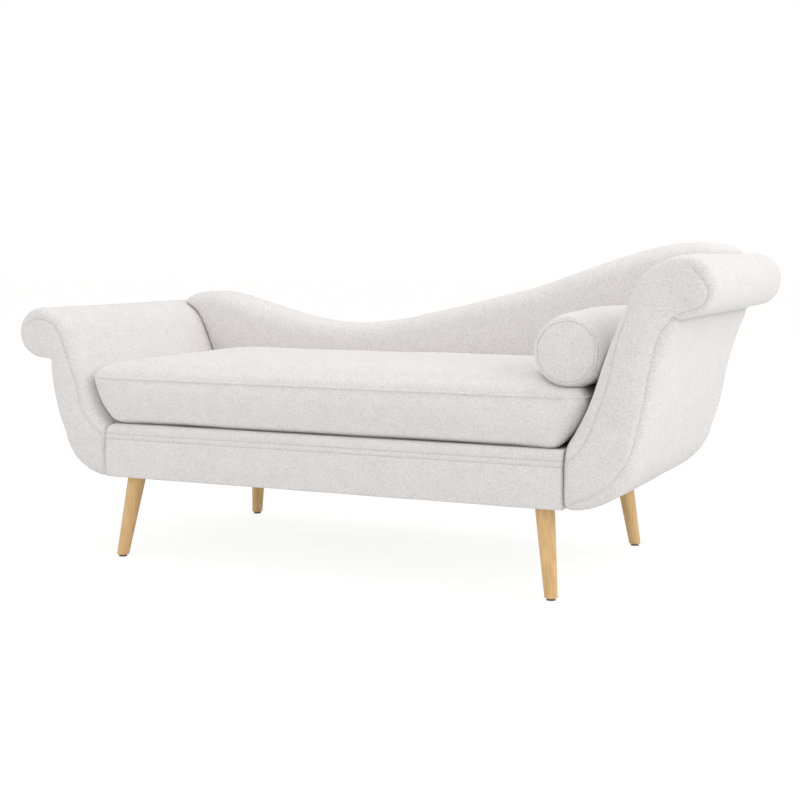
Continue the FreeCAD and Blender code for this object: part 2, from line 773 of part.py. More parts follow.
def turned_strip(length, y_middle, low, high, width):
    """A strip along the bolster at the zip's angle, between two distances from its axis."""
    strip = box(bolster_x+low, bolster_x+high, y_middle-length/2, y_middle+length/2,
                bolster_height-width/2, bolster_height+width/2)
    strip.rotate(Vector(bolster_x, 0, bolster_height), Vector(0, 1, 0), -bolster_zip_angle)
    return strip


def make_bolster():
    """Fill, cover, pipings and zip of the bolster."""
    outer = bolster_solid(0.0)
    inner = bolster_solid(cloth)
    axis = Vector(0, 1, 0)
    seats = []
    for name, y in (("bolster_front_piping", bolster_front), ("bolster_rear_piping", bolster_rear)):
        centre = Vector(bolster_x, y, bolster_height)
        save(name, Part.makeTorus(bolster_face_radius, bolster_piping_radius, centre, axis))
        seats.append(Part.makeTorus(bolster_face_radius, bolster_piping_radius+piping_gap, centre, axis))
    middle = (bolster_front+bolster_rear)/2
    floor = bolster_radius-zip_channel_depth
    channel = turned_strip(bolster_zip_length, middle, floor, bolster_radius+past_end, zip_channel_width)
    tape = turned_strip(bolster_zip_length, middle, floor, floor+zip_tape_thickness, zip_tape_width)
    slider_floor = floor+zip_tape_thickness+slider_gap
    slider_middle = middle-bolster_zip_length/2+slider_end_gap+slider_length/2
    slider = turned_strip(slider_length, slider_middle, slider_floor, slider_floor+slider_thickness,
                          slider_width)
    save("bolster_cover", cut_all(outer.cut(inner), [channel]+seats))
    save("bolster_core", inner.cut(channel))
    save("bolster_zip", tape)
    save("bolster_zip_slider", slider)


leg_bolts, plates, screws = make_legs()
bolts, nuts = [], []
for arm in (left_arm, right_arm):
    arm_bolts, arm_nuts = arm_bolt_set(arm)
    bolts += arm_bolts
    nuts += arm_nuts
save("arm_bolts", Part.makeCompound(bolts))
save("arm_bolt_nuts", Part.makeCompound(nuts))
dowels = make_back()
windows = make_seat_frame(leg_bolts, plates, screws, bolts, dowels)
straps = make_suspension()
make_front_rail_upholstery(straps, windows)
make_arm(left_arm, left_slats, bolts)
make_arm(right_arm, right_slats, bolts)
make_seat_cushion()
make_bolster()
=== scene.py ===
from math import cos, exp, pi, radians, sin
import bmesh
import bpy
from mathutils import Matrix, Vector, noise
from mathutils.bvhtree import BVHTree
from mathutils.kdtree import KDTree
import numpy as np


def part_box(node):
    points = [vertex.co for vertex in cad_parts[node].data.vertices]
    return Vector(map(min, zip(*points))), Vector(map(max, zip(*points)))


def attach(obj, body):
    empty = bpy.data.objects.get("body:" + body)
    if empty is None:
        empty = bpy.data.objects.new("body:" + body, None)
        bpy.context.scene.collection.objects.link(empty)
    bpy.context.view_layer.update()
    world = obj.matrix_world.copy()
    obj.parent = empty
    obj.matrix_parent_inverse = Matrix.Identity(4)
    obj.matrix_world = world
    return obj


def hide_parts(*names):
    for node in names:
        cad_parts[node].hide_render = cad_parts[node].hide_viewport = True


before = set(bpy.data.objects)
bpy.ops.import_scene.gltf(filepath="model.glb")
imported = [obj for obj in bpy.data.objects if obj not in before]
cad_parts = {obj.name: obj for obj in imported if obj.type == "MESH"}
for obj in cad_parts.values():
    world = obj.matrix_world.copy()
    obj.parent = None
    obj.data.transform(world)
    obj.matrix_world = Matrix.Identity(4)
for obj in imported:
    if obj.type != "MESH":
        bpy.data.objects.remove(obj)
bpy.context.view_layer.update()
scene = bpy.context.scene
scene.view_settings.view_transform = "Standard"

# Camera
# The camera stands to the right of the middle of the seat, at about the height of the taller
# arm, and has a long lens.
camera_data = bpy.data.cameras.new("camera")
camera_data.sensor_width = 36.0
camera_data.lens = 67.09
camera = bpy.data.objects.new("camera", camera_data)
camera.location = (1.4771, -3.1821, 0.7223)
camera.rotation_euler = (radians(84.167), 0, radians(24.70))
scene.collection.objects.link(camera)
scene.camera = camera


# Studio floor and light
# A white paper floor that runs out of sight, one broad soft lamp from the right, one from the
# front left and one overhead, in a white room.
def add_piece(name, bm):
    """A bmesh as an object with its place in its mesh."""
    mesh = bpy.data.meshes.new(name)
    bm.to_mesh(mesh)
    bm.free()
    piece = bpy.data.objects.new(name, mesh)
    scene.collection.objects.link(piece)
    return piece


def new_material(name):
    """An empty node material and its output."""
    material = bpy.data.materials.new(name)
    material.use_nodes = True
    nodes = material.node_tree.nodes
    nodes.clear()
    return material, nodes, material.node_tree.links, nodes.new("ShaderNodeOutputMaterial")


floor_half = 30.0
paper_share = 0.75
paper_white = 1.14
bm = bmesh.new()
bmesh.ops.create_grid(bm, x_segments=2, y_segments=2, size=floor_half)
floor = add_piece("studio_floor", bm)
paper, nodes, links, output = new_material("paper_floor")
lit = nodes.new("ShaderNodeBsdfDiffuse")
lit.inputs["Color"].default_value = (0.9, 0.9, 0.9, 1)
white = nodes.new("ShaderNodeEmission")
white.inputs["Strength"].default_value = paper_white
seen = nodes.new("ShaderNodeLightPath")
share = nodes.new("ShaderNodeMath")
share.operation = "MULTIPLY"
share.inputs[1].default_value = paper_share
links.new(seen.outputs["Is Camera Ray"], share.inputs[0])
mix = nodes.new("ShaderNodeMixShader")
links.new(share.outputs[0], mix.inputs[0])
links.new(lit.outputs[0], mix.inputs[1])
links.new(white.outputs[0], mix.inputs[2])
links.new(mix.outputs[0], output.inputs["Surface"])
floor.data.materials.append(paper)

room_light = 0.63
world = bpy.data.worlds.new("white_room")
scene.world = world
world.use_nodes = True
nodes = world.node_tree.nodes
links = world.node_tree.links
nodes.clear()
room = nodes.new("ShaderNodeBackground")
room.inputs["Color"].default_value = (1, 0.99, 0.99, 1)
room.inputs["Strength"].default_value = room_light
wall = nodes.new("ShaderNodeBackground")
wall.inputs["Color"].default_value = (1, 1, 1, 1)
wall.inputs["Strength"].default_value = 1.0
seen = nodes.new("ShaderNodeLightPath")
mix = nodes.new("ShaderNodeMixShader")
output = nodes.new("ShaderNodeOutputWorld")
links.new(seen.outputs["Is Camera Ray"], mix.inputs[0])
links.new(room.outputs[0], mix.inputs[1])
links.new(wall.outputs[0], mix.inputs[2])
links.new(mix.outputs[0], output.inputs["Surface"])


def add_lamp(name, place, aim, size, power):
    """A square soft lamp at a place, turned towards a point."""
    lamp_data = bpy.data.lights.new(name, "AREA")
    lamp_data.size = size
    lamp_data.energy = power
    lamp = bpy.data.objects.new(name, lamp_data)
    lamp.location = place
    lamp.rotation_euler = (Vector(aim)-Vector(place)).to_track_quat("-Z", "Y").to_euler()
    scene.collection.objects.link(lamp)


seat_middle = (0, 0, 0.4)
add_lamp("right_lamp", (3.4, -0.6, 2.2), seat_middle, size=2.2, power=44)
add_lamp("front_lamp", (-2.2, -3.6, 2.4), seat_middle, size=2.6, power=34)
add_lamp("top_lamp", (0.2, 0.6, 3.4), seat_middle, size=3.2, power=34)

# Arms
# Each scrolled arm is a wooden frame padded with foam and covered in thick off-white cloth, whose
# surface is small curled loops, with painted shade between them. Its front end is a separate panel,
# sewn in a finger's width inside the edge, and its seams are drawn in with painted shade in the crease.
loop_pitch = 0.0032
loop_height = 0.0014
# cloth_light is the loops' own colour; cloth_shade is painted shade for the hollows between the loops
cloth_light = (0.88, 0.86, 0.845, 1)
cloth_shade = (0.73, 0.708, 0.69, 1)
cloth, nodes, links, output = new_material("looped_cloth")
place = nodes.new("ShaderNodeTexCoord")
stray = nodes.new("ShaderNodeTexNoise")
stray.inputs["Scale"].default_value = 1/(3*loop_pitch)
stray.inputs["Detail"].default_value = 2.0
links.new(place.outputs["Object"], stray.inputs["Vector"])
curl = nodes.new("ShaderNodeVectorMath")
curl.operation = "MULTIPLY_ADD"
curl.inputs[1].default_value = (2.6*loop_pitch,)*3
links.new(stray.outputs["Color"], curl.inputs[0])
links.new(place.outputs["Object"], curl.inputs[2])
loops = nodes.new("ShaderNodeTexVoronoi")
loops.feature = "SMOOTH_F1"
loops.inputs["Scale"].default_value = 1/loop_pitch
loops.inputs["Smoothness"].default_value = 0.35
links.new(curl.outputs[0], loops.inputs["Vector"])
# Painted shade: the hollows between the loops are coloured darker, towards cloth_shade
depth_shade = nodes.new("ShaderNodeMapRange")
depth_shade.inputs["From Min"].default_value = 0.25
depth_shade.inputs["From Max"].default_value = 0.85
links.new(loops.outputs["Distance"], depth_shade.inputs["Value"])
tint = nodes.new("ShaderNodeMix")
tint.data_type = "RGBA"
tint.inputs["A"].default_value = cloth_light
tint.inputs["B"].default_value = cloth_shade
links.new(depth_shade.outputs[0], tint.inputs["Factor"])
patches = nodes.new("ShaderNodeTexNoise")
patches.inputs["Scale"].default_value = 34.0
patches.inputs["Detail"].default_value = 3.0
links.new(place.outputs["Object"], patches.inputs["Vector"])
patch_shade = nodes.new("ShaderNodeMapRange")
patch_shade.inputs["From Min"].default_value = 0.35
patch_shade.inputs["From Max"].default_value = 0.65
patch_shade.inputs["To Min"].default_value = 0.965
patch_shade.inputs["To Max"].default_value = 1.0
links.new(patches.outputs[0], patch_shade.inputs["Value"])
# Painted shade: the creases of seams and of the neck fold darken the cloth, through a per-point attribute
seam_line = nodes.new("ShaderNodeAttribute")
seam_line.attribute_name = "seam"
seam_shade = nodes.new("ShaderNodeMapRange")
seam_shade.inputs["To Min"].default_value = 1.0
seam_shade.inputs["To Max"].default_value = 0.80
links.new(seam_line.outputs["Fac"], seam_shade.inputs["Value"])
darken = nodes.new("ShaderNodeMath")
darken.operation = "MULTIPLY"
links.new(patch_shade.outputs[0], darken.inputs[0])
links.new(seam_shade.outputs[0], darken.inputs[1])
# The cloth's colour: random mottling, with painted shade in the hollows and creases
mottle_and_painted_shade = nodes.new("ShaderNodeVectorMath")
mottle_and_painted_shade.operation = "SCALE"
links.new(tint.outputs["Result"], mottle_and_painted_shade.inputs[0])
links.new(darken.outputs[0], mottle_and_painted_shade.inputs["Scale"])
relief = nodes.new("ShaderNodeBump")
relief.invert = True
relief.inputs["Strength"].default_value = 0.7
relief.inputs["Distance"].default_value = loop_height
links.new(loops.outputs["Distance"], relief.inputs["Height"])
wool = nodes.new("ShaderNodeBsdfPrincipled")
wool.inputs["Roughness"].default_value = 0.95
wool.inputs["Specular IOR Level"].default_value = 0.15
wool.inputs["Sheen Weight"].default_value = 0.25
wool.inputs["Sheen Roughness"].default_value = 0.6
links.new(mottle_and_painted_shade.outputs[0], wool.inputs["Base Color"])
links.new(relief.outputs[0], wool.inputs["Normal"])
links.new(wool.outputs[0], output.inputs["Surface"])


def mesh_of(piece):
    """The piece's mesh with its modifiers applied."""
    graph = bpy.context.evaluated_depsgraph_get()
    graph.update()
    return bpy.data.meshes.new_from_object(piece.evaluated_get(graph))


def apply_all(piece):
    """Applies the piece's modifiers."""
    finished = mesh_of(piece)
    piece.modifiers.clear()
    piece.data = finished


def places(mesh):
    """The mesh's vertices as rows of an array."""
    rows = np.empty(3*len(mesh.vertices))
    mesh.vertices.foreach_get("co", rows)
    return rows.reshape(-1, 3)


def move_to(mesh, rows):
    """Puts the mesh's vertices where an array says."""
    mesh.vertices.foreach_set("co", np.asarray(rows).ravel())
    mesh.update()


def outward(mesh):
    """The mesh's vertex normals as rows of an array."""
    rows = np.empty(3*len(mesh.vertices))
    mesh.vertex_normals.foreach_get("vector", rows)
    return rows.reshape(-1, 3)


def outer_skin(node, is_joint):
    """The outside of a hollow cover, closed; is_joint picks the faces that tie it to its inside."""
    bm = bmesh.new()
    bm.from_mesh(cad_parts[node].data)
    bmesh.ops.remove_doubles(bm, verts=bm.verts, dist=0.00003)
    joints = [f for f in bm.faces if is_joint(f.calc_center_median(), f.normal)]
    bmesh.ops.delete(bm, geom=joints, context="FACES")
    unseen = set(bm.faces)
    shells = []
    while unseen:
        shell = [unseen.pop()]
        for face in shell:
            for edge in face.edges:
                for other in edge.link_faces:
                    if other in unseen:
                        unseen.remove(other)
                        shell.append(other)
        shells.append(shell)
    outside = max(shells, key=lambda shell: sum(f.calc_area() for f in shell))
    kept = set(outside)
    bmesh.ops.delete(bm, geom=[f for f in bm.faces if f not in kept], context="FACES")
    open_edges = [e for e in bm.edges if e.is_boundary]
    if open_edges:
        bmesh.ops.holes_fill(bm, edges=open_edges, sides=0)
    bmesh.ops.recalc_face_normals(bm, faces=bm.faces)
    return bm


def fill(piece, voxel, draw_in, cap, pressure=4.0, steps=10):
    """Fills a closed cover: an even mesh, drawn in a little, then swollen up to a cap."""
    even = piece.modifiers.new("even", "REMESH")
    even.mode = "VOXEL"
    even.voxel_size = voxel
    apply_all(piece)
    start = places(piece.data)-draw_in*outward(piece.data)
    move_to(piece.data, start)
    air = piece.modifiers.new("air", "CLOTH")
    air.settings.quality = 3
    air.settings.use_pressure = True
    air.settings.uniform_pressure_force = pressure
    air.settings.effector_weights.gravity = 0
    air.collision_settings.use_collision = False
    for step in range(1, steps+1):
        scene.frame_set(step)
    swollen = mesh_of(piece)
    piece.modifiers.clear()
    scene.frame_set(1)
    moves = places(swollen)-start
    lengths = np.maximum(np.linalg.norm(moves, axis=1, keepdims=True), 1e-9)
    move_to(piece.data, start+moves*np.minimum(1, cap/lengths))
    bpy.data.meshes.remove(swollen)
    bm = bmesh.new()
    bm.from_mesh(piece.data)
    for _ in range(3):
        bmesh.ops.smooth_vert(bm, verts=bm.verts, factor=0.5, use_axis_x=True, use_axis_y=True,
                              use_axis_z=True)
    bm.to_mesh(piece.data)
    bm.free()
    finer = piece.modifiers.new("finer", "SUBSURF")
    finer.levels = 1
    finer.render_levels = 1
    apply_all(piece)


def close_points(points, gap=0.002):
    """The same line with points no further apart than a gap."""
    line = []
    for a, b in zip(points, points[1:]):
        parts = max(1, int((b-a).length/gap))
        line += [a.lerp(b, i/parts) for i in range(parts)]
    return line+[points[-1]]


def smooth_line(points):
    """Close points along a smooth curve through a few given ones."""
    curve = bpy.data.curves.new("line", "CURVE")
    curve.dimensions = "3D"
    spline = curve.splines.new("BEZIER")
    spline.bezier_points.add(len(points)-1)
    for knot, point in zip(spline.bezier_points, points):
        knot.co = point
        knot.handle_left_type = "AUTO"
        knot.handle_right_type = "AUTO"
    spline.resolution_u = 16
    line = bpy.data.objects.new("line", curve)
    mesh = bpy.data.meshes.new_from_object(line)
    drawn = close_points([v.co.copy() for v in mesh.vertices])
    bpy.data.objects.remove(line)
    bpy.data.curves.remove(curve)
    bpy.data.meshes.remove(mesh)
    return drawn


def refine(piece, is_near):
    """Divides the mesh once where a test of its points holds."""
    bm = bmesh.new()
    bm.from_mesh(piece.data)
    near = {v for v in bm.verts if is_near(v.co)}
    edges = [e for e in bm.edges if e.verts[0] in near and e.verts[1] in near]
    bmesh.ops.subdivide_edges(bm, edges=edges, cuts=1, use_grid_fill=True)
    bm.to_mesh(piece.data)
    bm.free()


def stitch(piece, line, depth, width, shade_width, along=None):
    """Draws the cover in along a sewn line and paints shade into its crease; along limits where it
    reaches.
    """
    surface = BVHTree.FromPolygons([v.co for v in piece.data.vertices],
                                   [p.vertices for p in piece.data.polygons])
    tree = KDTree(len(line))
    for i, point in enumerate(line):
        tree.insert(surface.find_nearest(point)[0], i)
    tree.balance()
    refine(piece, lambda point: tree.find(point)[2] < 3*width)
    mesh = piece.data
    seam = mesh.attributes.get("seam") or mesh.attributes.new("seam", "FLOAT", "POINT")
    shading_before = np.zeros(len(mesh.vertices))
    seam.data.foreach_get("value", shading_before)
    rows = places(mesh)
    pulls = np.zeros(len(rows))
    crease_shading = np.zeros(len(rows))
    for i, row in enumerate(rows):
        point = Vector(row)
        if along and not along(point):
            continue
        distance = tree.find(point)[2]
        if distance < 4*width:
            pulls[i] = exp(-(distance/width)**2)*(0.9+0.3*noise.noise(point*60))
            # Painted shade: a narrow dark line along the crease
            crease_shading[i] = exp(-(distance/shade_width)**2)
    move_to(mesh, rows-outward(mesh)*(depth*pulls)[:, None])
    seam.data.foreach_set("value", np.maximum(shading_before, crease_shading))


def ease(piece, height, pitch):
    """Uneven padding: gentle lumps along the surface's own direction."""
    rows = places(piece.data)
    lumps = np.array([noise.noise(Vector(row)/pitch) for row in rows])
    move_to(piece.data, rows+outward(piece.data)*(height*lumps)[:, None])


def finish_padding(piece, body, fullness, *nodes):
    """Smooth shading, the looped cloth, and what the piece stands for."""
    piece.data.materials.append(cloth)
    piece.data.shade_smooth()
    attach(piece, body)
    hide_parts(*nodes)


arm_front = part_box("right_arm_cover")[0].y
bolt_level = (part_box("arm_bolts")[0].z+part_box("arm_bolts")[1].z)/2
bolt_places = (-0.150, 0.0, 0.150)
bolt_hole_radius = 0.0042
panel_reach = 0.030


def bolt_hole(centre, normal):
    """Whether a face is the wall of an arm bolt's hole."""
    near_bolt = min(abs(centre.y-y) for y in bolt_places) < bolt_hole_radius
    return near_bolt and abs(centre.z-bolt_level) < bolt_hole_radius and abs(normal.x) < 0.5


right_inner_seam = [(0.530, 0.291), (0.550, 0.303), (0.576, 0.336), (0.593, 0.377), (0.610, 0.425),
                    (0.621, 0.462), (0.635, 0.541), (0.655, 0.610)]
right_outer_seam = [(0.751, 0.583), (0.723, 0.551), (0.711, 0.500), (0.703, 0.465), (0.698, 0.423),
                    (0.688, 0.373), (0.675, 0.322), (0.647, 0.272), (0.601, 0.230), (0.542, 0.200)]
right_roll_seam = [(0.764, 0.587), (0.797, 0.599), (0.814, 0.617), (0.819, 0.636), (0.811, 0.655),
                   (0.787, 0.684)]
left_inner_seam = [(-0.599, 0.289), (-0.637, 0.319), (-0.658, 0.351), (-0.668, 0.398), (-0.686, 0.440),
                   (-0.704, 0.488), (-0.720, 0.525), (-0.740, 0.546), (-0.760, 0.553), (-0.792, 0.552),
                   (-0.813, 0.540)]
necks = {"right": (0.751, 0.585), "left": (-0.751, 0.456)}
seam_draw = 0.0024
seam_width = 0.0052
seam_thread = 0.0018
neck_start = 0.012
neck_draw = 0.005
neck_width = 0.011
neck_shade_width = 0.004
for side, seams in (("right", (right_inner_seam, right_outer_seam, right_roll_seam)),
                    ("left", (left_inner_seam,))):
    arm = add_piece(side+"_arm", outer_skin(side+"_arm_cover", bolt_hole))
    fill(arm, voxel=0.0095, draw_in=0.0005, cap=0.004)
    ease(arm, height=0.0012, pitch=0.11)
    # Front panel seams, drawn in with painted shade in their creases
    for seam_points in seams:
        line = smooth_line([(x, arm_front, z) for x, z in seam_points])
        stitch(arm, line, seam_draw, seam_width, seam_thread,
               lambda point: point.y < arm_front+panel_reach)
    # The fold under the roll, drawn in deeper, with painted shade in it
    neck_x, neck_z = necks[side]
    neck = [Vector((neck_x, y, neck_z)) for y in (arm_front+neck_start, -arm_front)]
    stitch(arm, close_points(neck), neck_draw, neck_width, neck_shade_width)
    finish_padding(arm, "chaise", 0.9, side+"_arm_cover", side+"_arm_foam")

# Back
# The wavy back is one padded panel between the arms, with its cover drawn down behind the rear
# rail.
back_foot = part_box("back_cover")[0].z
rear_rail_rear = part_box("rear_rail")[1].y
seat_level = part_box("seat_deck_cloth")[1].z


def back_edge(centre, normal):
    """Whether a face is the cut edge of the cover, under the foam or behind the rail."""
    under = abs(centre.z-seat_level) < 0.0002 and normal.z < -0.9
    behind_rail = abs(centre.y-rear_rail_rear) < 0.0002 and normal.y < -0.9
    return under or behind_rail


back = add_piece("back", outer_skin("back_cover", back_edge))
fill(back, voxel=0.0098, draw_in=-0.0015, cap=0.004)
ease(back, height=0.0012, pitch=0.14)
skirt_tuck = 0.004
skirt_top = seat_level-0.012
skirt_hem = 0.001
skirt_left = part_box("left_arm_cover")[1].x-skirt_tuck
skirt_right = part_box("right_arm_cover")[0].x+skirt_tuck
rows = places(back.data)
skirt = rows[:, 2] < skirt_top
left_now, right_now = rows[skirt, 0].min(), rows[skirt, 0].max()
spread_out = skirt_left+(rows[:, 0]-left_now)*(skirt_right-skirt_left)/(right_now-left_now)
rows[skirt, 0] = spread_out[skirt]
foot_now = rows[:, 2].min()
down = np.clip((seat_level-rows[:, 2])/(seat_level-foot_now), 0, 1)
rows[:, 2] -= down*(foot_now-back_foot+skirt_hem)
move_to(back.data, rows)
finish_padding(back, "chaise", 0.9, "back_cover", "back_foam")

# Front rail
# The rail under the cushion is padded and covered, with two rows of stitching that hold a narrow
# band near its top edge. The top edge rounds down at its left end, beside the lower arm.
rail_low, rail_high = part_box("front_rail_cover")
band_low, band_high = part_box("front_rail_band")
rail_edge = 0.013
rail_foot_edge = 0.004
rail_swell = 0.0025
rail_tuck = 0.002
row_gap = 0.0016
rail_columns = 220
end_round = 0.015
rail_face_depth = 0.001
round_steps = 6


def rounded(centre_y, centre_z, radius, first):
    """A quarter round of the rail's section, from an angle on, clockwise."""
    angles = [first-pi/2*step/round_steps for step in range(round_steps+1)]
    return [(centre_y+radius*cos(angle), centre_z+radius*sin(angle)) for angle in angles]


rail_shell = [(rail_high.y, rail_low.z), (rail_low.y+rail_foot_edge, rail_low.z)]
rail_shell += rounded(rail_low.y+rail_foot_edge, rail_low.z+rail_foot_edge, rail_foot_edge, -pi/2)
rail_shell += rounded(rail_low.y+rail_edge, rail_high.z-rail_edge, rail_edge, pi)
rail_shell += [(rail_high.y, rail_high.z), (rail_high.y, rail_low.z)]
section = close_points([Vector((0, y, z)) for y, z in rail_shell], row_gap)
bm = bmesh.new()
bmesh.ops.create_grid(bm, x_segments=rail_columns, y_segments=len(section)-1, size=0.5)
x0, x1 = rail_low.x-rail_tuck, rail_high.x+rail_tuck
for v in bm.verts:
    x = x0+(x1-x0)*(v.co.x+0.5)
    row = section[round((v.co.y+0.5)*(len(section)-1))]
    share = min(1, max(0, (row.z-rail_low.z)/(band_low.z-rail_low.z)))
    puff = rail_swell*sin(pi*share)**0.7 if row.y < rail_low.y+rail_face_depth else 0
    near_end = max(0, end_round-(x-x0))
    above_band = max(0, (row.z-band_low.z)/(rail_high.z-band_low.z))
    drop = (end_round-(end_round**2-near_end**2)**0.5)*above_band
    v.co = (x, row.y+rail_face_depth-puff, row.z-drop)
bmesh.ops.remove_doubles(bm, verts=bm.verts, dist=0.00001)
bmesh.ops.holes_fill(bm, edges=[e for e in bm.edges if e.is_boundary], sides=0)
bmesh.ops.recalc_face_normals(bm, faces=bm.faces)
rail = add_piece("front_rail_upholstery", bm)
# The two stitched rows, drawn in with painted shade in their creases
for level in (band_low.z, band_high.z):
    row = [Vector((x, rail_low.y+rail_face_depth, level)) for x in (x0, x1)]
    stitch(rail, close_points(row), depth=0.0015, width=0.0028, shade_width=0.0014)
ease(rail, height=0.0008, pitch=0.09)
finish_padding(rail, "chaise", 0.9, "front_rail_cover", "front_rail_padding", "front_rail_band")

# Seat cushion
# A long boxed foam cushion, crowned on top, with piping sewn in round its top edge and a zip along
# the back. It lies loose on the deck, pressed down where the bolster lies.
cushion_low, cushion_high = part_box("seat_cushion_cover")
zip_low, zip_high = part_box("seat_cushion_zip")
piping_low, piping_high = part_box("seat_cushion_piping")
zip_room = 0.0006


def zip_slot(centre, normal):
    """Whether a face is a wall of the zip's channel."""
    along = zip_low.x-zip_room < centre.x < zip_high.x+zip_room
    across = zip_low.z-zip_room < centre.z < zip_high.z+zip_room
    return along and across and centre.y > zip_low.y-zip_room


cushion = add_piece("seat_cushion", outer_skin("seat_cushion_cover", zip_slot))
fill(cushion, voxel=0.0105, draw_in=0.003, cap=0.007)
ease(cushion, height=0.0016, pitch=0.13)
bulge_depth = 0.06
bulge_reach = 0.05
rows = places(cushion.data)
up = np.clip((rows[:, 2]-cushion_low.z)/(piping_low.z-cushion_low.z), 0, 1)
near_front = np.clip(1-(rows[:, 1]-cushion_low.y)/bulge_depth, 0, 1)
for end_x, way, bulge in ((cushion_low.x, -1, 0.013), (cushion_high.x, 1, 0.007)):
    near_end = np.clip(1-abs(rows[:, 0]-end_x)/bulge_reach, 0, 1)
    rows[:, 0] += way*bulge*np.sin(pi*up**0.7)*near_front*near_end
move_to(cushion.data, rows)


def open_channel(piece, centre, along, out, length, width):
    """Presses the cover in along a zip, down to the centre given on the channel's floor."""
    across = along.cross(out)
    fall = 0.003
    reach = 0.010
    reach_out = 0.012

    def past_edge(point):
        """How far a point lies outside the channel's outline."""
        offset = point-centre
        return max(abs(offset.dot(along))-length/2, abs(offset.dot(across))-width/2)

    def near(point):
        """Whether a point is in or beside the channel."""
        return past_edge(point) < reach and abs((point-centre).dot(out)) < reach_out

    refine(piece, near)
    refine(piece, near)
    rows = places(piece.data)
    for i, row in enumerate(rows):
        point = Vector(row)
        if near(point):
            t = min(1, max(0, past_edge(point)/fall))
            share = 1-t*t*(3-2*t)
            rows[i] = point-out*max(0, (point-centre).dot(out))*share
    move_to(piece.data, rows)


channel_spare = 0.001
under_tape = 0.0004
zip_width = zip_high.z-zip_low.z
zip_length = zip_high.x-zip_low.x
zip_floor = Vector(((zip_low.x+zip_high.x)/2, zip_low.y-under_tape, (zip_low.z+zip_high.z)/2))
open_channel(cushion, zip_floor, Vector((1, 0, 0)), Vector((0, 1, 0)), zip_length+channel_spare,
             zip_width+channel_spare)
finish_padding(cushion, "seat_cushion", 0.85, "seat_cushion_cover", "seat_cushion_core")


piping_lift = 0.35


def sew_piping(name, line, host, radius, body, *nodes):
    """A cord wrapped in cloth, laid round a closed line and sunk a little in its host's surface."""
    surface = BVHTree.FromPolygons([v.co for v in host.data.vertices],
                                   [p.vertices for p in host.data.polygons])
    seated = []
    for point in line:
        spot, normal = surface.find_nearest(point)[:2]
        seated.append(spot+normal*radius*piping_lift)
    curve = bpy.data.curves.new(name, "CURVE")
    curve.dimensions = "3D"
    curve.bevel_depth = radius
    curve.bevel_resolution = 3
    spline = curve.splines.new("NURBS")
    spline.points.add(len(seated)-1)
    for knot, point in zip(spline.points, seated):
        knot.co = (*point, 1)
    spline.use_cyclic_u = True
    spline.order_u = 4
    spline.resolution_u = 3
    drawn = bpy.data.objects.new(name+"_curve", curve)
    scene.collection.objects.link(drawn)
    mesh = mesh_of(drawn)
    bpy.data.objects.remove(drawn)
    piping = bpy.data.objects.new(name, mesh)
    scene.collection.objects.link(piping)
    mesh.materials.append(cloth)
    mesh.shade_smooth()
    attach(piping, body)
    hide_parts(*nodes)


cushion_corner = 0.034
piping_radius = 0.0026
piping_gap = 0.02
level = (piping_low.z+piping_high.z)/2
x0, y0 = piping_low.x+piping_radius, piping_low.y+piping_radius
x1, y1 = piping_high.x-piping_radius, piping_high.y-piping_radius
ring = []
for centre_x, centre_y, first in ((x1-cushion_corner, y0+cushion_corner, -pi/2),
                                  (x1-cushion_corner, y1-cushion_corner, 0),
                                  (x0+cushion_corner, y1-cushion_corner, pi/2),
                                  (x0+cushion_corner, y0+cushion_corner, pi)):
    for step in range(round_steps+1):
        angle = first+pi/2*step/round_steps
        ring.append(Vector((centre_x+cushion_corner*cos(angle), centre_y+cushion_corner*sin(angle),
                            level)))
sew_piping("seat_cushion_welt", close_points(ring+ring[:1], piping_gap)[:-1], cushion,
           piping_radius, "seat_cushion", "seat_cushion_piping")


def zip_material(name, ribs):
    """Woven zip tape whose coil runs across a direction."""
    tape, nodes, links, output = new_material(name)
    place = nodes.new("ShaderNodeTexCoord")
    coil = nodes.new("ShaderNodeTexWave")
    coil.bands_direction = ribs
    coil.inputs["Scale"].default_value = 160.0
    coil.inputs["Distortion"].default_value = 0.4
    links.new(place.outputs["Object"], coil.inputs["Vector"])
    tint = nodes.new("ShaderNodeMix")
    tint.data_type = "RGBA"
    tint.inputs["A"].default_value = (0.62, 0.60, 0.57, 1)
    tint.inputs["B"].default_value = (0.80, 0.78, 0.75, 1)
    links.new(coil.outputs["Fac"], tint.inputs["Factor"])
    relief = nodes.new("ShaderNodeBump")
    relief.inputs["Strength"].default_value = 0.6
    relief.inputs["Distance"].default_value = 0.0005
    links.new(coil.outputs["Fac"], relief.inputs["Height"])
    plastic = nodes.new("ShaderNodeBsdfPrincipled")
    plastic.inputs["Roughness"].default_value = 0.55
    links.new(tint.outputs["Result"], plastic.inputs["Base Color"])
    links.new(relief.outputs[0], plastic.inputs["Normal"])
    links.new(plastic.outputs[0], output.inputs["Surface"])
    return tape


def dress(node, material):
    """Gives a piece that keeps its built shape its own finish."""
    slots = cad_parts[node].data.materials
    slots.clear()
    slots.append(material)


dress("seat_cushion_zip", zip_material("cushion_zip_tape", "X"))


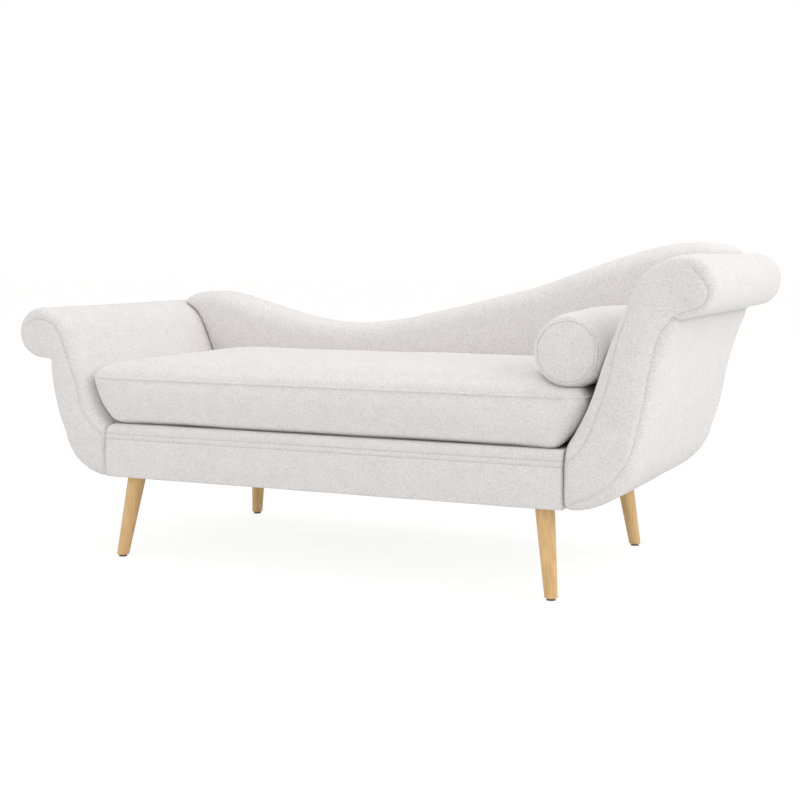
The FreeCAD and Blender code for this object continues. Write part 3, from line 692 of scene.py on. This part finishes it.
def speckled(name, light, dark, scale, roughness, metallic=0.0, bump=0.0002):
    """A fine even surface, such as cast metal, moulded plastic or close-woven lining."""
    finish, nodes, links, output = new_material(name)
    place = nodes.new("ShaderNodeTexCoord")
    fine = nodes.new("ShaderNodeTexNoise")
    fine.inputs["Scale"].default_value = scale
    fine.inputs["Detail"].default_value = 4.0
    links.new(place.outputs["Object"], fine.inputs["Vector"])
    tint = nodes.new("ShaderNodeMix")
    tint.data_type = "RGBA"
    tint.inputs["A"].default_value = light
    tint.inputs["B"].default_value = dark
    links.new(fine.outputs[0], tint.inputs["Factor"])
    relief = nodes.new("ShaderNodeBump")
    relief.inputs["Strength"].default_value = 0.3
    relief.inputs["Distance"].default_value = bump
    links.new(fine.outputs[0], relief.inputs["Height"])
    surface = nodes.new("ShaderNodeBsdfPrincipled")
    surface.inputs["Roughness"].default_value = roughness
    surface.inputs["Metallic"].default_value = metallic
    links.new(tint.outputs["Result"], surface.inputs["Base Color"])
    links.new(relief.outputs[0], surface.inputs["Normal"])
    links.new(surface.outputs[0], output.inputs["Surface"])
    return finish


slider_size = (0.0118, 0.0078, 0.0033)
slider_lift = -0.0001
tab_size = (0.0095, 0.0042, 0.0008)
tab_lift = 0.0021
slider_corner = 0.0018
slider_metal = speckled("nickelled_zip_slider", (0.72, 0.71, 0.69, 1), (0.58, 0.57, 0.55, 1), 900.0, 0.3,
                        metallic=1.0)


def make_slider(name, node, body, along, out):
    """A zip slider: a rounded body with its short pull tab folded down on it."""
    low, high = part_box(node)
    across = along.cross(out)
    bm = bmesh.new()
    for size, lift in ((slider_size, slider_lift), (tab_size, tab_lift)):
        made = bmesh.ops.create_cube(bm, size=1.0)["verts"]
        shape = Matrix.Translation((0, 0, lift)) @ Matrix.Diagonal((*size, 1))
        bmesh.ops.transform(bm, verts=made, matrix=shape)
        upright = [e for e in bm.edges if e.verts[0] in made and
                   abs(e.verts[0].co.z-e.verts[1].co.z) > size[2]/2]
        bmesh.ops.bevel(bm, geom=upright, offset=slider_corner, segments=4, profile=0.5, affect="EDGES",
                        material=-1)
    turn = Matrix((along, across, out)).transposed().to_4x4()
    bmesh.ops.transform(bm, verts=bm.verts, matrix=Matrix.Translation((low+high)/2) @ turn)
    bmesh.ops.recalc_face_normals(bm, faces=bm.faces)
    slider = add_piece(name, bm)
    slider.data.materials.append(slider_metal)
    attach(slider, body)
    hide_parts(node)


make_slider("cushion_slider", "seat_cushion_zip_slider", "cushion_zip_slider", Vector((1, 0, 0)),
            Vector((0, 1, 0)))

# Bolster
# A round bolster, stuffed firm, with a domed disc sewn into each end over thin piping. It lies
# from front to back against the taller arm.
bolster_low, bolster_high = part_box("bolster_cover")
front_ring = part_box("bolster_front_piping")
rear_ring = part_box("bolster_rear_piping")
axis_x = (bolster_low.x+bolster_high.x)/2
axis_z = (bolster_low.z+bolster_high.z)/2
bolster_radius = (bolster_high.x-bolster_low.x)/2
bolster_piping = 0.0022
piping_half = 0.002
disc_radius = (front_ring[1].x-front_ring[0].x)/2-piping_half
shoulder = 0.022
shoulder_rise = 0.0055
dome_rise = 0.003
turns = 48
front_disc = (front_ring[0].y+front_ring[1].y)/2
rear_disc = (rear_ring[0].y+rear_ring[1].y)/2
bm = bmesh.new()
profile = [(bolster_low.y, 0), (bolster_low.y+dome_rise, disc_radius*0.5),
           (front_disc, disc_radius), (front_disc+shoulder*0.3, disc_radius+shoulder_rise),
           (front_disc+shoulder, bolster_radius), (rear_disc-shoulder, bolster_radius),
           (rear_disc-shoulder*0.3, disc_radius+shoulder_rise), (rear_disc, disc_radius),
           (bolster_high.y-dome_rise, disc_radius*0.5), (bolster_high.y, 0)]
points = [bm.verts.new((axis_x, y, axis_z+r)) for y, r in profile]
edges = [bm.edges.new(pair) for pair in zip(points, points[1:])]
bmesh.ops.spin(bm, geom=points+edges, cent=(axis_x, 0, axis_z), axis=(0, 1, 0), angle=2*pi,
               steps=turns, use_merge=True)
bmesh.ops.remove_doubles(bm, verts=bm.verts, dist=0.0001)
bmesh.ops.recalc_face_normals(bm, faces=bm.faces)
bolster = add_piece("bolster", bm)
fill(bolster, voxel=0.0075, draw_in=0.001, cap=0.004)
ease(bolster, height=0.0012, pitch=0.08)
stuffing = 0.007
rows = places(bolster.data)
middle_share = np.sin(pi*np.clip((rows[:, 1]-front_disc)/(rear_disc-front_disc), 0, 1))
upward = np.clip((rows[:, 2]-axis_z)/bolster_radius, 0, 1)
rows[:, 2] += stuffing*middle_share*upward
move_to(bolster.data, rows)
disc_lines = []
# The disc seams, drawn in with painted shade in their creases
for y in (front_disc, rear_disc):
    angles = [2*pi*i/turns for i in range(turns)]
    line = [Vector((axis_x+disc_radius*cos(a), y, axis_z+disc_radius*sin(a))) for a in angles]
    stitch(bolster, close_points(line+line[:1]), depth=0.002, width=0.004, shade_width=0.0025)
    disc_lines.append(line)
finish_padding(bolster, "bolster", 0.95, "bolster_cover", "bolster_core")
zip_thickness = zip_high.y-zip_low.y
bolster_zip_low, bolster_zip_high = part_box("bolster_zip")
zip_middle = (bolster_zip_low+bolster_zip_high)/2
zip_way = Vector((zip_middle.x-axis_x, 0, zip_middle.z-axis_z)).normalized()
bolster_zip_floor = zip_middle-zip_way*(zip_thickness/2+under_tape)
bolster_zip_length = bolster_zip_high.y-bolster_zip_low.y
open_channel(bolster, bolster_zip_floor, Vector((0, 1, 0)), zip_way,
             bolster_zip_length+channel_spare, zip_width+channel_spare)
dress("bolster_zip", zip_material("bolster_zip_tape", "Y"))
make_slider("bolster_slider", "bolster_zip_slider", "bolster_zip_slider", Vector((0, 1, 0)), zip_way)
for name, line in zip(("front", "rear"), disc_lines):
    sew_piping("bolster_"+name+"_welt", line, bolster, bolster_piping, "bolster",
               "bolster_"+name+"_piping")

# Legs
# Four turned legs in pale clear-lacquered wood, the grain running down each leg, with a small dark
# plastic glide nailed under the foot.
wood_light = (0.82, 0.55, 0.25, 1)
wood_dark = (0.68, 0.41, 0.16, 1)
wood, nodes, links, output = new_material("lacquered_wood")
place = nodes.new("ShaderNodeTexCoord")
stretch = nodes.new("ShaderNodeMapping")
stretch.inputs["Scale"].default_value = (1.0, 1.0, 0.07)
links.new(place.outputs["Object"], stretch.inputs["Vector"])
grain = nodes.new("ShaderNodeTexNoise")
grain.inputs["Scale"].default_value = 140.0
grain.inputs["Detail"].default_value = 5.0
grain.inputs["Distortion"].default_value = 0.6
links.new(stretch.outputs[0], grain.inputs["Vector"])
grain_shade = nodes.new("ShaderNodeMapRange")
grain_shade.inputs["From Min"].default_value = 0.38
grain_shade.inputs["From Max"].default_value = 0.72
links.new(grain.outputs[0], grain_shade.inputs["Value"])
tint = nodes.new("ShaderNodeMix")
tint.data_type = "RGBA"
tint.inputs["A"].default_value = wood_light
tint.inputs["B"].default_value = wood_dark
links.new(grain_shade.outputs[0], tint.inputs["Factor"])
lacquer = nodes.new("ShaderNodeBsdfPrincipled")
lacquer.inputs["Roughness"].default_value = 0.42
lacquer.inputs["Coat Weight"].default_value = 0.15
lacquer.inputs["Coat Roughness"].default_value = 0.25
relief = nodes.new("ShaderNodeBump")
relief.inputs["Strength"].default_value = 0.15
relief.inputs["Distance"].default_value = 0.0004
links.new(grain.outputs[0], relief.inputs["Height"])
links.new(tint.outputs["Result"], lacquer.inputs["Base Color"])
links.new(relief.outputs[0], lacquer.inputs["Normal"])
links.new(lacquer.outputs[0], output.inputs["Surface"])
for name in ("front_left_leg", "front_right_leg", "rear_left_leg", "rear_right_leg"):
    dress(name, wood)
dress("leg_glides", speckled("glide_plastic", (0.24, 0.19, 0.15, 1), (0.16, 0.13, 0.10, 1), 500.0, 0.6))

# Leg plates, screws and bolts
# Zinc plated steel: a plate with an angled boss for each leg, its screws, the bolts in the legs and
# the bolts and nuts that hold the arms.
steel = speckled("zinc_plated_steel", (0.62, 0.63, 0.65, 1), (0.45, 0.46, 0.48, 1), 260.0, 0.38,
                 metallic=1.0)
for name in ("leg_plates", "leg_plate_screws", "hanger_bolts", "arm_bolts", "arm_bolt_nuts"):
    dress(name, steel)

# Hidden frame
# Sawn hardwood rails, blocks, posts and dowels, and sawn ribs, slats and boards in the arms, all
# left bare under the upholstery.
sawn, nodes, links, output = new_material("sawn_frame_wood")
place = nodes.new("ShaderNodeTexCoord")
stretch = nodes.new("ShaderNodeMapping")
stretch.inputs["Scale"].default_value = (0.12, 1.0, 1.0)
links.new(place.outputs["Object"], stretch.inputs["Vector"])
rings = nodes.new("ShaderNodeTexNoise")
rings.inputs["Scale"].default_value = 60.0
rings.inputs["Detail"].default_value = 6.0
rings.inputs["Distortion"].default_value = 1.0
links.new(stretch.outputs[0], rings.inputs["Vector"])
tint = nodes.new("ShaderNodeMix")
tint.data_type = "RGBA"
tint.inputs["A"].default_value = (0.72, 0.55, 0.36, 1)
tint.inputs["B"].default_value = (0.50, 0.34, 0.20, 1)
links.new(rings.outputs[0], tint.inputs["Factor"])
bare = nodes.new("ShaderNodeBsdfPrincipled")
bare.inputs["Roughness"].default_value = 0.8
relief = nodes.new("ShaderNodeBump")
relief.inputs["Strength"].default_value = 0.4
relief.inputs["Distance"].default_value = 0.0005
links.new(rings.outputs[0], relief.inputs["Height"])
links.new(tint.outputs["Result"], bare.inputs["Base Color"])
links.new(relief.outputs[0], bare.inputs["Normal"])
links.new(bare.outputs[0], output.inputs["Surface"])
for name in ("front_rail", "rear_rail", "left_end_rail", "right_end_rail", "cross_rails",
             "corner_blocks", "back_posts", "back_dowels", "back_crest_board"):
    dress(name, sawn)
for side in ("left", "right"):
    for part in ("front_rib", "rear_rib", "roll_pole", "side_board", "slats"):
        dress(side+"_arm_"+part, sawn)

# Webbing
# Strong flat webbing is stretched both ways over the seat frame and stapled down. It carries the
# deck pad.
webbing, nodes, links, output = new_material("seat_webbing")
place = nodes.new("ShaderNodeTexCoord")
weave = nodes.new("ShaderNodeTexChecker")
weave.inputs["Scale"].default_value = 500.0
weave.inputs["Color1"].default_value = (0.30, 0.28, 0.25, 1)
weave.inputs["Color2"].default_value = (0.18, 0.17, 0.15, 1)
links.new(place.outputs["Object"], weave.inputs["Vector"])
relief = nodes.new("ShaderNodeBump")
relief.inputs["Strength"].default_value = 0.5
relief.inputs["Distance"].default_value = 0.0004
links.new(weave.outputs["Fac"], relief.inputs["Height"])
woven = nodes.new("ShaderNodeBsdfPrincipled")
woven.inputs["Roughness"].default_value = 0.85
links.new(weave.outputs["Color"], woven.inputs["Base Color"])
links.new(relief.outputs[0], woven.inputs["Normal"])
links.new(woven.outputs[0], output.inputs["Surface"])
dress("seat_webbing_across", webbing)
dress("seat_webbing_along", webbing)

# Seat deck
# A thin felt pad lies over the webbing, and a close-woven cotton cloth is stretched over it and
# tacked down. The loose cushion lies on it.
lining = speckled("cotton_lining", (0.74, 0.72, 0.68, 1), (0.66, 0.64, 0.60, 1), 1400.0, 0.9)


def stretched_sheet(name, node, dip, spacing=0.04):
    """A tacked sheet of cloth, the built one with its middle hanging a little."""
    bm = bmesh.new()
    bm.from_mesh(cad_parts[node].data)
    bmesh.ops.remove_doubles(bm, verts=bm.verts, dist=0.00003)
    bmesh.ops.dissolve_limit(bm, angle_limit=radians(1), verts=bm.verts, edges=bm.edges)
    low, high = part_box(node)
    cut_area = sum(f.calc_area() for f in bm.faces if f.normal.z < -0.9)
    for axis in (0, 1):
        way = Vector((1-axis, axis, 0))
        count = int((high[axis]-low[axis])/spacing)
        for i in range(1, count):
            at = low+way*(high[axis]-low[axis])*i/count
            bmesh.ops.bisect_plane(bm, geom=bm.verts[:]+bm.edges[:]+bm.faces[:], plane_co=at,
                                   plane_no=way)
    for v in bm.verts:
        u = (v.co.x-low.x)/(high.x-low.x)
        w = (v.co.y-low.y)/(high.y-low.y)
        v.co.z -= dip*sin(pi*u)*sin(pi*w)*(1+0.3*noise.noise(v.co*9))
    sheet = add_piece(name, bm)
    sheet.data.materials.append(lining)
    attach(sheet, "chaise")
    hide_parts(node)


stretched_sheet("deck_cloth", "seat_deck_cloth", dip=0.0006)
pad_low, pad_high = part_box("seat_deck_pad")
bm = bmesh.new()
bmesh.ops.create_cube(bm, size=1.0)
bmesh.ops.transform(bm, verts=bm.verts, matrix=Matrix.Translation((pad_low+pad_high)/2)
                    @ Matrix.Diagonal((*(pad_high-pad_low), 1)))
bmesh.ops.bevel(bm, geom=bm.edges[:], offset=0.002, segments=3, profile=0.5, affect="EDGES", material=-1)
pad = add_piece("deck_pad", bm)
pad.data.materials.append(speckled("felt_pad", (0.55, 0.53, 0.50, 1), (0.36, 0.35, 0.33, 1), 220.0, 0.95))
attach(pad, "chaise")
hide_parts("seat_deck_pad")

# Dust cover
# Thin cotton lining tacked under the seat frame, cut away round the four leg plates. It hangs a
# little in the middle.
stretched_sheet("dust_cover_cloth", "dust_cover", dip=0.003)
